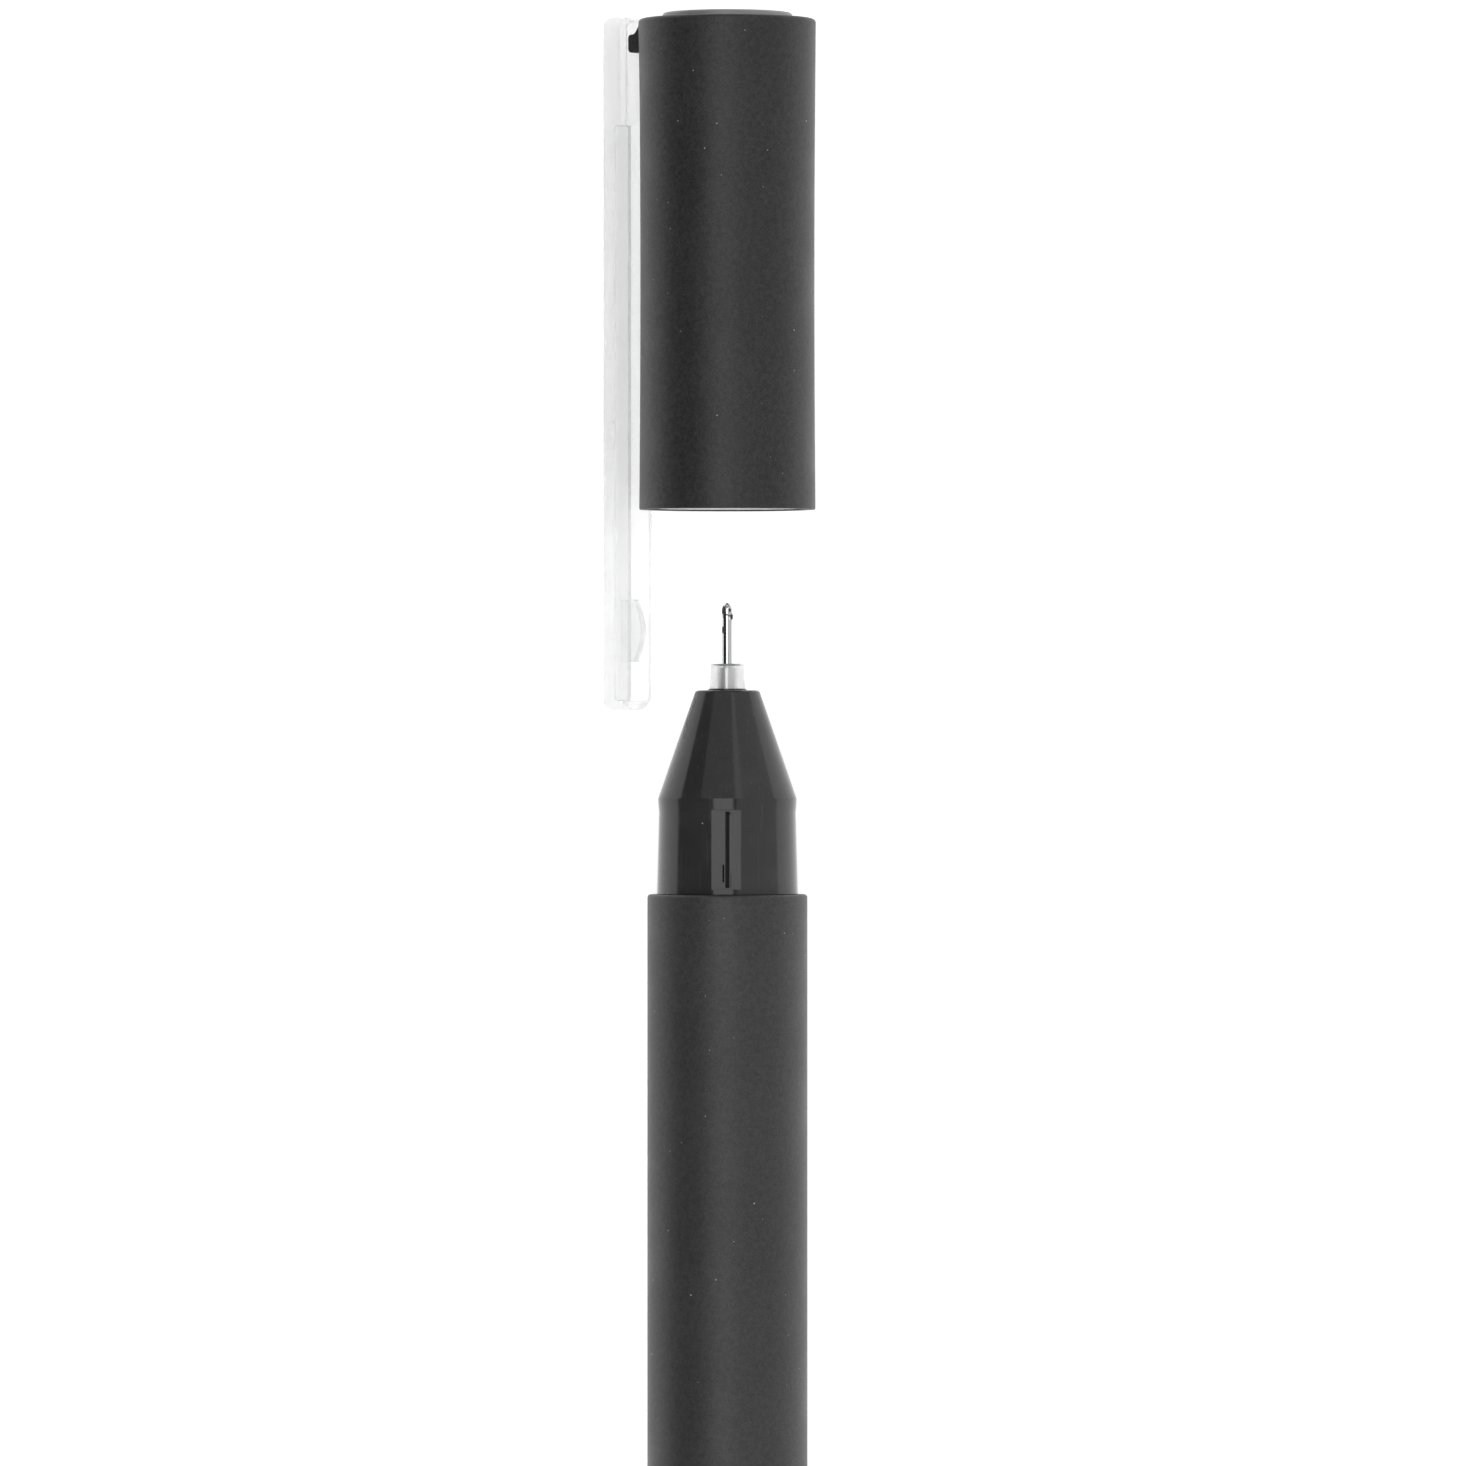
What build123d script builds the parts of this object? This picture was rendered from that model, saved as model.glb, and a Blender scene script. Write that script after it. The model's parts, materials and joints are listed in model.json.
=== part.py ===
from build123d import *
from math import cos, radians, sin, sqrt
import os

# A capped needle-point drawing pen, lying on its side with the cap pulled off in line with the tip.
# Millimetres. The pen's axis is X: the tail face is at x = 0 and the tip points along +X. Z is up.

# ---- fits ----
press_gap = 0.01            # radial room left between two pressed or bonded pieces
refill_gap = 0.10           # radial room round the refill in the barrel
cap_clear = 0.045           # radial room between the tenon and the cap that slides over it
bead_clear = 0.02           # radial room between the tenon's ridge and the bead in the cap
seal_gap = 0.03             # room between the nose cone and the seal cup in the closed cap
tip_gap = 0.15              # room between the ball and the pad in the closed cap
stop_gap = 0.10             # room between the barrel's shoulder and the mouth of the closed cap
ball_clear = 0.01           # room between the ball and its seat
clip_seat_gap = 0.06        # room between the lug and the clip that rocks on it
tongue_clear = 0.08         # room round the clip's tongue in the lug's slot

# ---- barrel and end plug ----
barrel_length = 109.0       # from the tail face to the front shoulder
barrel_dia = 10.0
barrel_wall = 0.9
shoulder_edge = 0.25
plug_flange = 1.6
plug_spigot = 8.0
plug_edge = 0.8
plug_floor = 1.4            # solid end left between the flange and the refill's pocket

# ---- nose section ----
spigot_length = 10.0
spigot_wall = 0.9
shoulder_step = 0.585       # step from the barrel's surface down to the tenon
tenon_length = 6.0
tenon_taper = 0.135         # how much the tenon's radius falls towards the cone
ridge_height = 0.06
ridge_width = 0.2
cone_length = 6.75
nose_face_dia = 4.0
nose_edge = 0.25
lip_dia = 2.4
lip_height = 0.1
panel_width = 2.05
panel_offset = 0.175        # how far the panel's middle sits from the parting groove
panel_margin = 0.35         # tenon left at each end of the panel
panel_depth = 0.12
groove_width = 0.2
groove_depth = 0.1

# ---- refill ----
refill_wall = 0.6
refill_seat = 2.0           # how far inside the tenon the refill's collar stops
collar_length = 1.0
holder_plug = 4.0
holder_body_wall = 1.6      # wall of the holder round its ink way
ink_way_dia = 1.8
body_length = 5.0           # straight part of the holder ahead of the collar
neck_length = 1.85          # straight hole for the holder behind the nose's face
holder_reach = 1.65         # milky neck that shows ahead of the nose's face
neck_dia = 2.2
neck_tip_dia = 2.06
neck_edge = 0.08
socket_dia = 1.24
socket_length = 6.0
socket_sink = 0.2           # how far the socket stops behind the holder's end
socket_floor = 1.0          # length of the socket's narrow ink way
needle_dia = 0.69
needle_bore = 0.34
needle_reach = 3.8          # from the holder's end to the end of the ball
head_dia = 0.75
head_length = 0.55
head_step = 0.2
ogive_dia = 0.585           # the head's width part way along its rounding
ogive_back = 0.21           # from the lip back to that width
ball_dia = 0.5
ball_show = 0.16            # how much of the ball stands ahead of the needle's lip
lip_wall = 0.018
tail_plug_length = 6.0
vent_dia = 1.0
ink_length = 60.0
follower_length = 12.0

# ---- cap ----
cap_gap = 5.9               # from the tip to the mouth of the pulled-off cap
sleeve_length = 30.6
sleeve_wall = 0.55
sleeve_waist = 0.08         # how far the sleeve's side is drawn in at its waist
sleeve_flare = 0.03         # how far its top end stands out past its mouth
mouth_edge = 0.25
liner_setback = 0.05        # how far the liner stops behind the sleeve's mouth
liner_lead = 0.2
liner_wall = 0.49
bead_width = 0.5
bead_back = 1.0             # from the ridge of the tenon back to the bead in the closed cap
seal_back = 2.5             # from the nose's face back to the start of the seal band
seal_band = 1.0
seal_lead = 0.4
seal_flare = 0.25
cup_wall = 0.8
cup_step = 0.6              # room ahead of the nose's face before the cup narrows
cup_throat_dia = 3.0
cup_floor = 1.0
pad_thickness = 1.5
web_thickness = 1.0
crown_dia = 8.1
crown_proud = 0.35
crown_head = 1.5
crown_fill = 0.565          # share of the liner's end pocket that the crown's spigot fills
crown_wall = 0.8
crown_edge = 0.2

# ---- clip and its lug ----
clip_angle = 30.6           # how far below level the clip points from the cap's axis
clip_gap = 0.88             # between the sleeve's mouth and the clip's inner face
clip_height = 1.80
clip_width = 3.15
clip_length = 43.2
clip_plate = 0.6
clip_flange = 0.5
clip_root = 6.5
clip_end_wall = 0.6
clip_outer_round = 0.56
clip_inner_round = 1.1
ramp_length = 3.9
ramp_crest = 5.0            # from the clip's free end to the ramp's crest
ramp_drop = 0.29            # how far the crest reaches past the clip's inner face
ramp_width = 1.0
lug_width = 2.8
lug_back = 1.08             # from the cap's end to the near edge of the lug's top
lug_top = 0.8
lug_flare = 0.45
tongue_thickness = 0.3
tongue_width = 1.6
tongue_depth = 0.7

# ---- radii that follow from the fits ----
barrel_r = barrel_dia / 2
bore_r = barrel_r - barrel_wall
spigot_r = bore_r - press_gap
nose_bore_r = spigot_r - spigot_wall
refill_r = nose_bore_r - refill_gap
refill_bore_r = refill_r - refill_wall
tenon_rear_r = barrel_r - shoulder_step
tenon_front_r = tenon_rear_r - tenon_taper
ridge_r = tenon_front_r + ridge_height
holder_body_r = ink_way_dia / 2 + holder_body_wall
neck_r = neck_dia / 2
neck_hole_r = neck_r + press_gap
liner_mouth_r = tenon_rear_r + cap_clear
bead_r = ridge_r + bead_clear
liner_bore_r = bead_r + bead_clear
liner_r = liner_mouth_r + liner_wall
sleeve_bore_r = liner_r + press_gap
sleeve_r = sleeve_bore_r + sleeve_wall
crown_r = crown_dia / 2

# ---- stations along the axis ----
shoulder_x = barrel_length
spigot_x = shoulder_x - spigot_length
seat_x = shoulder_x + refill_seat
tube_front_x = seat_x - collar_length
tube_back_x = plug_flange + plug_floor
tenon_end_x = shoulder_x + tenon_length
nose_face_x = tenon_end_x + cone_length
neck_back_x = nose_face_x - neck_length
body_end_x = seat_x + body_length
holder_end_x = nose_face_x + holder_reach
socket_end_x = holder_end_x - socket_sink
socket_back_x = socket_end_x - socket_length
needle_back_x = socket_back_x + socket_floor
tip_x = holder_end_x + needle_reach
ball_x = tip_x - ball_dia / 2
mouth_x = tip_x + cap_gap
cap_end_x = mouth_x + sleeve_length
cap_travel = mouth_x - shoulder_x - stop_gap     # how far the cap slides back to close


def cone_r(x):
    """Radius of the nose cone at station x."""
    share = (x - tenon_end_x) / cone_length
    return ridge_r + share * (nose_face_dia / 2 - ridge_r)


def in_cap(x):
    """Where a station of the closed pen falls in the pulled-off cap."""
    return x + cap_travel


# the clip's middle plane: local x runs along the pen, local y outwards from the cap's axis
clip_side = Plane(
    origin=(0, 0, 0),
    x_dir=(1, 0, 0),
    z_dir=(0, sin(radians(clip_angle)), cos(radians(clip_angle))),
)
os.makedirs("parts", exist_ok=True)


# ---- barrel: a plain tube between the end plug and the nose ----
with BuildPart() as barrel:
    with BuildSketch(Plane.XY):
        with BuildLine():
            Polyline(
                (plug_flange, bore_r),
                (plug_flange, barrel_r),
                (shoulder_x, barrel_r),
                (shoulder_x, bore_r),
                close=True,
            )
        make_face()
    revolve(axis=Axis.X)
    front_rims = barrel.edges().filter_by(GeomType.CIRCLE).group_by(Axis.X)[-1]
    fillet(front_rims.sort_by(SortBy.RADIUS)[-1], shoulder_edge)
barrel.part.label = "barrel"
export_step(barrel.part, "parts/barrel.step")


# ---- end plug: rounded flange, pressed spigot and a pocket for the refill's tail ----
with BuildPart() as barrel_end_plug:
    with BuildSketch(Plane.XY):
        with BuildLine():
            Polyline(
                (0, 0),
                (0, barrel_r),
                (plug_flange, barrel_r),
                (plug_flange, spigot_r),
                (plug_flange + plug_spigot, spigot_r),
                (plug_flange + plug_spigot, refill_r + refill_gap),
                (tube_back_x, refill_r + refill_gap),
                (tube_back_x, 0),
                close=True,
            )
        make_face()
    revolve(axis=Axis.X)
    tail_rim = barrel_end_plug.edges().filter_by(GeomType.CIRCLE).group_by(Axis.X)[0]
    fillet(tail_rim, plug_edge)
barrel_end_plug.part.label = "barrel_end_plug"
export_step(barrel_end_plug.part, "parts/barrel_end_plug.step")


# ---- nose section: spigot in the barrel, tenon for the cap, cone round the refill's holder ----
with BuildPart() as nose_section:
    with BuildSketch(Plane.XY):
        with BuildLine():
            Polyline(
                (spigot_x, nose_bore_r),
                (spigot_x, spigot_r),
                (shoulder_x, spigot_r),
                (shoulder_x, tenon_rear_r),
                (tenon_end_x - 2 * ridge_width, tenon_front_r),
                (tenon_end_x - ridge_width, ridge_r),
                (tenon_end_x, ridge_r),
                (nose_face_x - nose_edge, cone_r(nose_face_x - nose_edge)),
                (nose_face_x, nose_face_dia / 2 - nose_edge),
                (nose_face_x, lip_dia / 2),
                (nose_face_x + lip_height, lip_dia / 2),
                (nose_face_x + lip_height, neck_hole_r),
                (neck_back_x, neck_hole_r),
                (body_end_x, holder_body_r + refill_gap),
                (seat_x, holder_body_r + refill_gap),
                (seat_x, nose_bore_r),
                close=True,
            )
        make_face()
    revolve(axis=Axis.X)
    panel_length = tenon_length - 2 * ridge_width - 2 * panel_margin
    panel_x = shoulder_x + panel_margin + panel_length / 2
    panel_z = tenon_front_r + tenon_taper / 2 - panel_depth
    with BuildSketch(Plane.XY.offset(panel_z)):
        with Locations((panel_x, panel_offset)):
            Rectangle(panel_length, panel_width)
    extrude(amount=barrel_r, mode=Mode.SUBTRACT)
    with BuildSketch(Plane.XY.offset(panel_z - groove_depth)):
        with Locations((panel_x, 0)):
            Rectangle(panel_length, groove_width)
    extrude(amount=barrel_r, mode=Mode.SUBTRACT)
nose_section.part.label = "nose_section"
export_step(nose_section.part, "parts/nose_section.step")


# ---- refill: tube, tail plug, follower and ink ----
with BuildPart() as refill_tube:
    with BuildSketch(Plane.XY):
        with BuildLine():
            Polyline(
                (tube_back_x, refill_bore_r),
                (tube_back_x, refill_r),
                (tube_front_x, refill_r),
                (tube_front_x, refill_bore_r),
                close=True,
            )
        make_face()
    revolve(axis=Axis.X)
refill_tube.part.label = "refill_tube"
export_step(refill_tube.part, "parts/refill_tube.step")

with BuildPart() as refill_tail_plug:
    with BuildSketch(Plane.XY):
        with BuildLine():
            Polyline(
                (tube_back_x, vent_dia / 2),
                (tube_back_x, refill_bore_r - press_gap),
                (tube_back_x + tail_plug_length, refill_bore_r - press_gap),
                (tube_back_x + tail_plug_length, vent_dia / 2),
                close=True,
            )
        make_face()
    revolve(axis=Axis.X)
refill_tail_plug.part.label = "refill_tail_plug"
export_step(refill_tail_plug.part, "parts/refill_tail_plug.step")

ink_front_x = tube_front_x - holder_plug
ink_back_x = ink_front_x - ink_length
with BuildPart() as gel_ink:
    with BuildSketch(Plane.YZ.offset(ink_back_x)):
        Circle(refill_bore_r - press_gap)
    extrude(amount=ink_length)
gel_ink.part.label = "gel_ink"
export_step(gel_ink.part, "parts/gel_ink.step")

with BuildPart() as ink_follower:
    with BuildSketch(Plane.YZ.offset(ink_back_x - follower_length)):
        Circle(refill_bore_r - press_gap)
    extrude(amount=follower_length)
ink_follower.part.label = "ink_follower"
export_step(ink_follower.part, "parts/ink_follower.step")


# ---- tip holder: plug in the tube, collar on the nose's seat, neck through the nose ----
with BuildPart() as tip_holder:
    with BuildSketch(Plane.XY):
        with BuildLine():
            Polyline(
                (ink_front_x, ink_way_dia / 2),
                (ink_front_x, refill_bore_r - press_gap),
                (tube_front_x, refill_bore_r - press_gap),
                (tube_front_x, refill_r),
                (seat_x, refill_r),
                (seat_x, holder_body_r),
                (body_end_x, holder_body_r),
                (neck_back_x, neck_r),
                (nose_face_x, neck_r),
                (holder_end_x - neck_edge, neck_tip_dia / 2),
                (holder_end_x, neck_tip_dia / 2 - neck_edge),
                (holder_end_x, socket_dia / 2 + press_gap),
                (socket_back_x, socket_dia / 2 + press_gap),
                (socket_back_x - ink_way_dia / 2, ink_way_dia / 2),
                close=True,
            )
        make_face()
    revolve(axis=Axis.X)
tip_holder.part.label = "tip_holder"
export_step(tip_holder.part, "parts/tip_holder.step")


# ---- needle socket: steel sleeve in the holder ----
with BuildPart() as needle_socket:
    with BuildSketch(Plane.XY):
        with BuildLine():
            Polyline(
                (socket_back_x, needle_bore / 2),
                (socket_back_x, socket_dia / 2),
                (socket_end_x, socket_dia / 2),
                (socket_end_x, needle_dia / 2 + press_gap),
                (needle_back_x, needle_dia / 2 + press_gap),
                (needle_back_x, needle_bore / 2),
                close=True,
            )
        make_face()
    revolve(axis=Axis.X)
needle_socket.part.label = "needle_socket"
export_step(needle_socket.part, "parts/needle_socket.step")


# ---- needle: tube with a swelled head, spun over the ball ----
seat_r = ball_dia / 2 + ball_clear
lip_x = tip_x - ball_show
lip_bore_r = sqrt(seat_r ** 2 - (lip_x - ball_x) ** 2)
throat_x = ball_x - sqrt(seat_r ** 2 - (needle_bore / 2) ** 2)
head_back_x = lip_x - head_length - head_step
with BuildPart() as needle_tube:
    with BuildSketch(Plane.XY):
        with BuildLine():
            Polyline(
                (throat_x, needle_bore / 2),
                (needle_back_x, needle_bore / 2),
                (needle_back_x, needle_dia / 2),
                (head_back_x - head_step, needle_dia / 2),
                (head_back_x, head_dia / 2),
                (lip_x - head_length, head_dia / 2),
            )
            ThreePointArc(
                (lip_x - head_length, head_dia / 2),
                (lip_x - ogive_back, ogive_dia / 2),
                (lip_x, lip_bore_r + lip_wall),
            )
            Line((lip_x, lip_bore_r + lip_wall), (lip_x, lip_bore_r))
            ThreePointArc(
                (lip_x, lip_bore_r),
                (ball_x, seat_r),
                (throat_x, needle_bore / 2),
            )
        make_face()
    revolve(axis=Axis.X)
needle_tube.part.label = "needle_tube"
export_step(needle_tube.part, "parts/needle_tube.step")

with BuildPart() as writing_ball:
    with Locations((ball_x, 0, 0)):
        Sphere(ball_dia / 2)
writing_ball.part.label = "writing_ball"
export_step(writing_ball.part, "parts/writing_ball.step")


# ---- cap sleeve: waisted shell with the lug that carries the clip ----
lug_near_x = cap_end_x - lug_back
lug_far_x = lug_near_x - lug_top
lug_top_r = sleeve_r + clip_gap - clip_seat_gap
tongue_x = (lug_far_x + lug_near_x) / 2
slot_depth = tongue_depth + tongue_clear
sleeve_end_r = sleeve_r + sleeve_flare
with BuildPart() as cap_sleeve:
    with BuildSketch(Plane.XY):
        with BuildLine():
            ThreePointArc(
                (mouth_x, sleeve_r),
                (mouth_x + sleeve_length / 2, sleeve_r - sleeve_waist),
                (cap_end_x, sleeve_end_r),
            )
            Polyline(
                (cap_end_x, sleeve_end_r),
                (cap_end_x, sleeve_bore_r),
                (mouth_x, sleeve_bore_r),
                (mouth_x, sleeve_r),
            )
        make_face()
    revolve(axis=Axis.X)
    rims = cap_sleeve.edges().filter_by(GeomType.CIRCLE)
    outer_rims = rims.filter_by(lambda e: e.radius > sleeve_bore_r + press_gap)
    fillet(outer_rims, mouth_edge)
    lug_base_r = sleeve_r - sleeve_wall / 2
    with BuildSketch(clip_side):
        with BuildLine():
            Polyline(
                (lug_far_x - lug_flare / 4, lug_base_r),
                (lug_far_x - lug_flare / 4, lug_top_r - lug_flare),
                (lug_far_x, lug_top_r),
                (lug_near_x, lug_top_r),
                (lug_near_x + lug_flare, sleeve_r),
                (lug_near_x + lug_flare, lug_base_r),
                close=True,
            )
        make_face()
    extrude(amount=lug_width / 2, both=True)
    # slot for the clip's tongue
    with BuildSketch(clip_side):
        with Locations((tongue_x, lug_top_r - slot_depth / 2 + clip_seat_gap)):
            Rectangle(tongue_thickness + 2 * tongue_clear, slot_depth)
    extrude(amount=tongue_width / 2 + tongue_clear, both=True, mode=Mode.SUBTRACT)
cap_sleeve.part.label = "cap_sleeve"
export_step(cap_sleeve.part, "parts/cap_sleeve.step")


# ---- cap liner: slides over the tenon, holds the seal cup and the crown ----
cup_back_x = in_cap(tip_x) + tip_gap + pad_thickness + cup_floor
pocket_x = cup_back_x + web_thickness
bead_x = in_cap(tenon_end_x - ridge_width - bead_back)
with BuildPart() as cap_liner:
    with BuildSketch(Plane.XY):
        with BuildLine():
            Polyline(
                (mouth_x + liner_setback, liner_mouth_r + liner_lead / 2),
                (mouth_x + liner_setback, liner_r),
                (cap_end_x, liner_r),
                (cap_end_x, crown_r + press_gap),
                (pocket_x, crown_r + press_gap),
                (pocket_x, 0),
                (cup_back_x, 0),
                (cup_back_x, liner_bore_r),
                (bead_x + bead_width, liner_bore_r),
                (bead_x + bead_width / 2, bead_r),
                (bead_x - bead_width / 2, bead_r),
                (bead_x - bead_width, liner_mouth_r),
                (mouth_x + liner_setback + liner_lead, liner_mouth_r),
                close=True,
            )
        make_face()
    revolve(axis=Axis.X)
cap_liner.part.label = "cap_liner"
export_step(cap_liner.part, "parts/cap_liner.step")


# ---- seal cup: its lip meets the nose cone all round when the cap is closed ----
band_x = nose_face_x - seal_back
band_end_x = band_x + seal_band
lip_start_x = band_x - seal_lead
cup_r = cone_r(lip_start_x) + seal_flare + cup_wall / 2
pad_x = tip_x + tip_gap
with BuildPart() as inner_seal_cup:
    with BuildSketch(Plane.XY):
        with BuildLine():
            Polyline(
                (in_cap(lip_start_x), cone_r(lip_start_x) + seal_flare),
                (in_cap(lip_start_x), cup_r),
                (in_cap(pad_x) + pad_thickness, cup_r),
                (in_cap(pad_x) + pad_thickness, liner_bore_r - press_gap),
                (cup_back_x, liner_bore_r - press_gap),
                (cup_back_x, 0),
                (in_cap(pad_x) + pad_thickness, 0),
                (in_cap(pad_x) + pad_thickness, cup_throat_dia / 2),
                (in_cap(nose_face_x) + cup_step, cup_throat_dia / 2),
                (in_cap(nose_face_x) + cup_step, cone_r(band_end_x) + seal_gap),
                (in_cap(band_end_x), cone_r(band_end_x) + seal_gap),
                (in_cap(band_x), cone_r(band_x) + seal_gap),
                close=True,
            )
        make_face()
    revolve(axis=Axis.X)
inner_seal_cup.part.label = "inner_seal_cup"
export_step(inner_seal_cup.part, "parts/inner_seal_cup.step")

with BuildPart() as tip_pad:
    with BuildSketch(Plane.YZ.offset(in_cap(pad_x))):
        Circle(cup_throat_dia / 2 - press_gap)
    extrude(amount=pad_thickness)
tip_pad.part.label = "tip_pad"
export_step(tip_pad.part, "parts/tip_pad.step")


# ---- crown: hollow plug pressed into the liner's end ----
crown_back_x = cap_end_x - crown_fill * (cap_end_x - pocket_x)
with BuildPart() as cap_crown:
    with BuildSketch(Plane.XY):
        with BuildLine():
            Polyline(
                (cap_end_x + crown_proud, 0),
                (cap_end_x + crown_proud, crown_r),
                (crown_back_x, crown_r),
                (crown_back_x, crown_r - crown_wall),
                (cap_end_x + crown_proud - crown_head, crown_r - crown_wall),
                (cap_end_x + crown_proud - crown_head, 0),
                close=True,
            )
        make_face()
    revolve(axis=Axis.X)
    crown_rim = cap_crown.edges().filter_by(GeomType.CIRCLE).group_by(Axis.X)[-1]
    fillet(crown_rim, crown_edge)
cap_crown.part.label = "cap_crown"
export_step(cap_crown.part, "parts/cap_crown.step")


# ---- clip: open channel with a solid root, a tongue for the lug and a ramp near its free end ----
clip_inner_r = sleeve_r + clip_gap
clip_outer_r = clip_inner_r + clip_height
clip_end_x = cap_end_x - clip_length
crest_x = clip_end_x + ramp_crest
with BuildPart() as clip:
    with BuildSketch(clip_side) as outline:
        with BuildLine():
            Polyline(
                (clip_end_x, clip_inner_r),
                (cap_end_x, clip_inner_r),
                (cap_end_x, clip_outer_r),
                (clip_end_x, clip_outer_r),
                close=True,
            )
        make_face()
        free_end = outline.vertices().filter_by(lambda v: v.X < clip_end_x + clip_root)
        root_end = outline.vertices().filter_by(lambda v: v.X > cap_end_x - clip_root)
        fillet(root_end.sort_by(lambda v: v.Y)[-1], clip_outer_round)
        fillet(free_end.sort_by(lambda v: v.Y)[-1], clip_outer_round)
        fillet(free_end.sort_by(lambda v: v.Y)[0], clip_inner_round)
    extrude(amount=clip_width / 2, both=True)
    channel_start_x = clip_end_x + clip_end_wall
    channel_length = clip_length - clip_root - clip_end_wall
    channel_depth = clip_height - clip_plate
    with BuildSketch(clip_side):
        with Locations((channel_start_x + channel_length / 2, clip_inner_r)):
            Rectangle(channel_length, 2 * channel_depth)
    extrude(amount=clip_width / 2 - clip_flange, both=True, mode=Mode.SUBTRACT)
    with BuildSketch(clip_side):
        with BuildLine():
            plate_r = clip_inner_r + channel_depth + clip_plate / 2
            Line((crest_x - ramp_length / 2, plate_r), (crest_x + ramp_length / 2, plate_r))
            Line((crest_x + ramp_length / 2, plate_r), (crest_x + ramp_length / 2, clip_inner_r))
            ThreePointArc(
                (crest_x + ramp_length / 2, clip_inner_r),
                (crest_x, clip_inner_r - ramp_drop),
                (crest_x - ramp_length / 2, clip_inner_r),
            )
            Line((crest_x - ramp_length / 2, clip_inner_r), (crest_x - ramp_length / 2, plate_r))
        make_face()
    extrude(amount=ramp_width / 2, both=True)
    with BuildSketch(clip_side):
        with Locations((tongue_x, clip_inner_r - tongue_depth / 2)):
            Rectangle(tongue_thickness, tongue_depth + clip_seat_gap)
    extrude(amount=tongue_width / 2, both=True)
clip.part.label = "clip"
export_step(clip.part, "parts/clip.step")

print(f"cap travel to closed {cap_travel:.3f}, mouth x {mouth_x:.3f}, cap end x {cap_end_x:.3f}")
print(f"sleeve r {sleeve_r:.3f}, clip {clip_inner_r:.3f} to {clip_outer_r:.3f}, pivot x {lug_near_x:.3f}")
print(f"ball x {ball_x:.3f}, tip x {tip_x:.3f}")
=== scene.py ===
import json
from math import acos, atan2, cos, hypot, pi, radians, sin, sqrt, tan

import bmesh
import bpy
from mathutils import Matrix, Vector


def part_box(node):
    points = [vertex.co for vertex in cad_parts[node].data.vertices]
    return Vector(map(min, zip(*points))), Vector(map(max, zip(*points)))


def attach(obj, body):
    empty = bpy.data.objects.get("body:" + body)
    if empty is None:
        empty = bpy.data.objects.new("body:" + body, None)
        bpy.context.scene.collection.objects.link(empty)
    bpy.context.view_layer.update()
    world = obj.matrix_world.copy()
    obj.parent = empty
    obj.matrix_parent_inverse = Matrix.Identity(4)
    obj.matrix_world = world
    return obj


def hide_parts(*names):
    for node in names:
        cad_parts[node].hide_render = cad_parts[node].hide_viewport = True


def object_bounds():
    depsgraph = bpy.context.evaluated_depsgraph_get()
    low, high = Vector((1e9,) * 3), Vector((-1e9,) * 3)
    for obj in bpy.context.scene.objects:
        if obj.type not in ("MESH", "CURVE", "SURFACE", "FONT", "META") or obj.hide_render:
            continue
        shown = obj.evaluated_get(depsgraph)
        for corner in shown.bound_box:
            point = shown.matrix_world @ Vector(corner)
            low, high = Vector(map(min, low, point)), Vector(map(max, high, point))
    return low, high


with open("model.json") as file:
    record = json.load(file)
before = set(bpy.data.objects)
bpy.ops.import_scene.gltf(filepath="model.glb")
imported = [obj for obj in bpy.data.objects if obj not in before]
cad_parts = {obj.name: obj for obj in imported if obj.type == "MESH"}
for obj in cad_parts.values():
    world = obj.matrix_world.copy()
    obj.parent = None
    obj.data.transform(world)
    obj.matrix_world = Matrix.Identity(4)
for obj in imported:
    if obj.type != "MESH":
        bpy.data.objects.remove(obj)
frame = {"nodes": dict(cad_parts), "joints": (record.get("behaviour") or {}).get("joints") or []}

cad_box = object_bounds()

# The script works in millimetres and turns them into metres when a mesh is made.
# The pen's axis is X, tip towards +X, and the pen and its cap lie on the floor, Z up.
MM = 0.001
ROUND = 160                 # facets round a large turned piece
FINE = 96                   # facets round a small one


# ---------------------------------------------------------------- places read from the frame

def span(node):
    """Back end, front end and half width of a CAD node, in millimetres."""
    low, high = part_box(node)
    return low.x / MM, high.x / MM, (high.y - low.y) / 2 / MM


barrel_back, shoulder_x, barrel_r = span("barrel")
nose_back, nose_front, tenon_rear_r = span("nose_section")
holder_back, holder_front, holder_collar_r = span("tip_holder")
socket_back, socket_front, socket_r = span("needle_socket")
needle_back, needle_lip, head_r = span("needle_tube")
tip_x, ball_r = span("writing_ball")[1:]
mouth_x, cap_end_x = span("cap_sleeve")[:2]
sleeve_end_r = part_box("cap_sleeve")[1].z / MM      # its upper side, clear of the lug
cup_back, cup_front, cup_flange_r = span("inner_seal_cup")
pad_back, pad_front, pad_r = span("tip_pad")
crown_back, crown_front, crown_r = span("cap_crown")
clip_end_x, clip_root_x = span("clip")[:2]

# the clip leans down from level: its hinge's axis and place give its directions
clip_hinge = next(j for j in frame["joints"] if j["name"] == "clip_flex")
ALONG = Vector((1, 0, 0))
SIDE = -Vector(clip_hinge["axis"]).normalized()
OUT = SIDE.cross(ALONG)
hinge_r = Vector(clip_hinge["pos_m"]).dot(OUT) / MM


# ---------------------------------------------------------------- sizes of the pieces

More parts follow.
